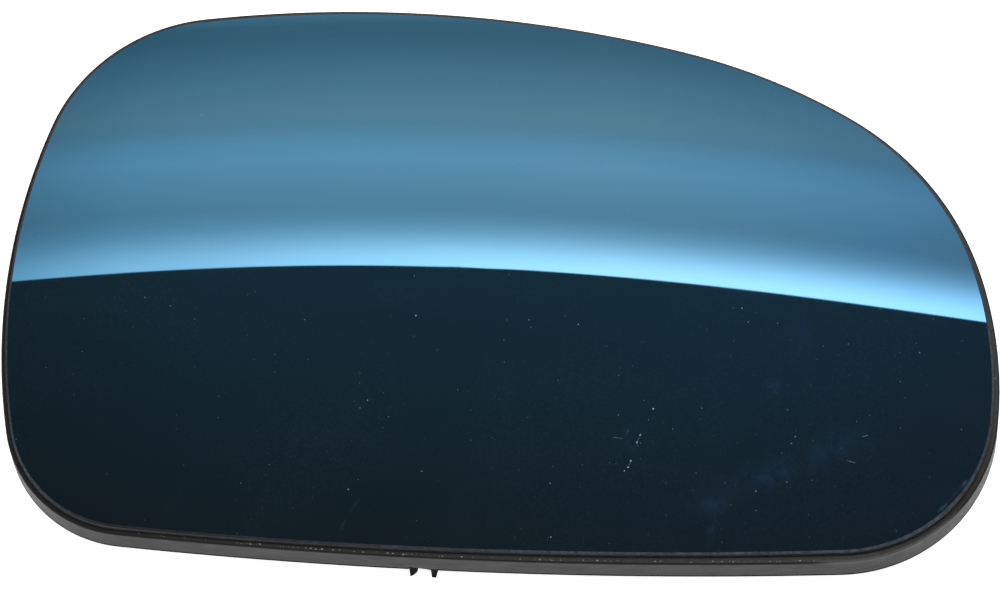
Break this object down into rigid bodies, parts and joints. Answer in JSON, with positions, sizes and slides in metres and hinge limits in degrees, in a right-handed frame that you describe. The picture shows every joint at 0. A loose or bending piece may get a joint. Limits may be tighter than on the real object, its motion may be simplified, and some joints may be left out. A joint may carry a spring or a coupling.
{
  "type": "car door mirror glass",
  "caption": "Convex blue-tinted door mirror glass bonded to a skirted black plastic carrier, whose back has a ring of sprung hooked fingers that clips on to the adjuster.",
  "frame": {"origin": "on the axis of the clip ring, in the plane of its finger ends, on which the part lies on its back", "axes": "+Z out of the mirror face, +Y to the mirror's upper edge, +X to its outer end, with the lower edge along X"},
  "size_m": [0.1772, 0.1051, 0.015],
  "materials": {
    "tinted_mirror": "blue-tinted convex mirror with a ground edge, a little dusty",
    "foam_tape": "matt closed-cell foam",
    "moulded_plastic": "satin moulded black plastic"
  },
  "bodies": {
    "root": {"mirror_glass": "tinted_mirror", "adhesive_pad": "foam_tape", "carrier": "moulded_plastic"}
  },
  "joints": []
}
